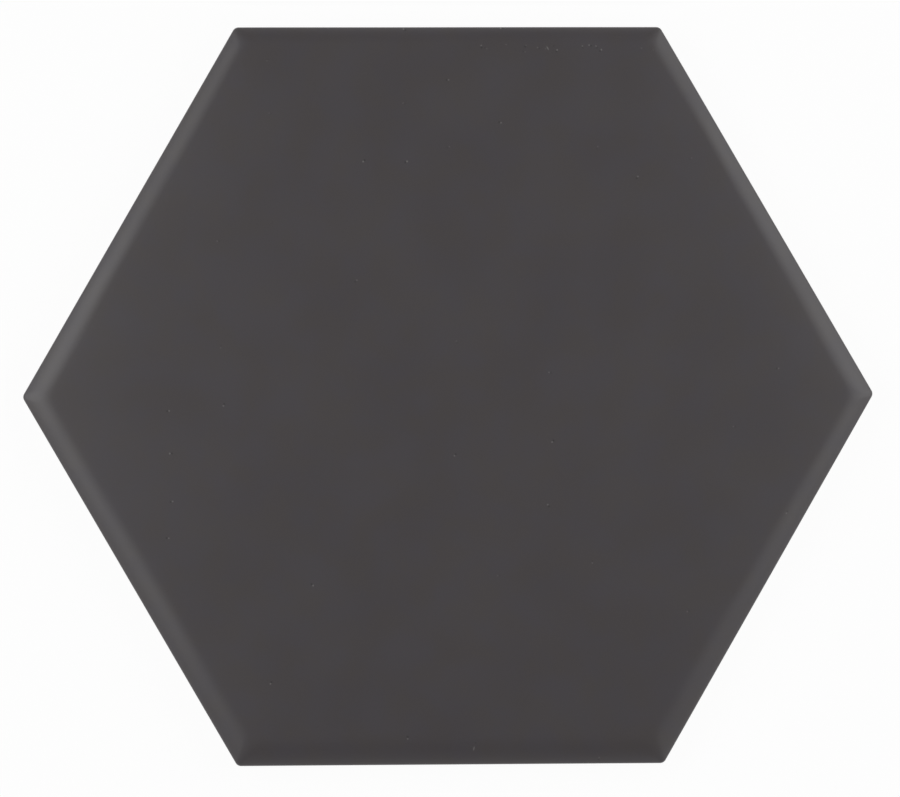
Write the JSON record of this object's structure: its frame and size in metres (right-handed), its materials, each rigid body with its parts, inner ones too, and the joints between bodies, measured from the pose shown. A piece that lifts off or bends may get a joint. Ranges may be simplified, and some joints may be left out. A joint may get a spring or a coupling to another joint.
{
  "type": "hexagon tile",
  "caption": "Flat hexagonal glazed ceramic tile with softly cushioned edges, rounded corners and a honeycomb keyed back, laid in adhesive to cover a floor or wall.",
  "frame": {"origin": "centre of the back, on the plane that the tile is bedded on", "axes": "+Z out of the glazed face, +X towards a tip of the hexagon, +Y square to one of its sides"},
  "size_m": [0.1992, 0.173, 0.009],
  "materials": {
    "matte_glaze": "matte"
  },
  "bodies": {
    "root": {"hexagon_tile": "matte_glaze"}
  },
  "joints": []
}
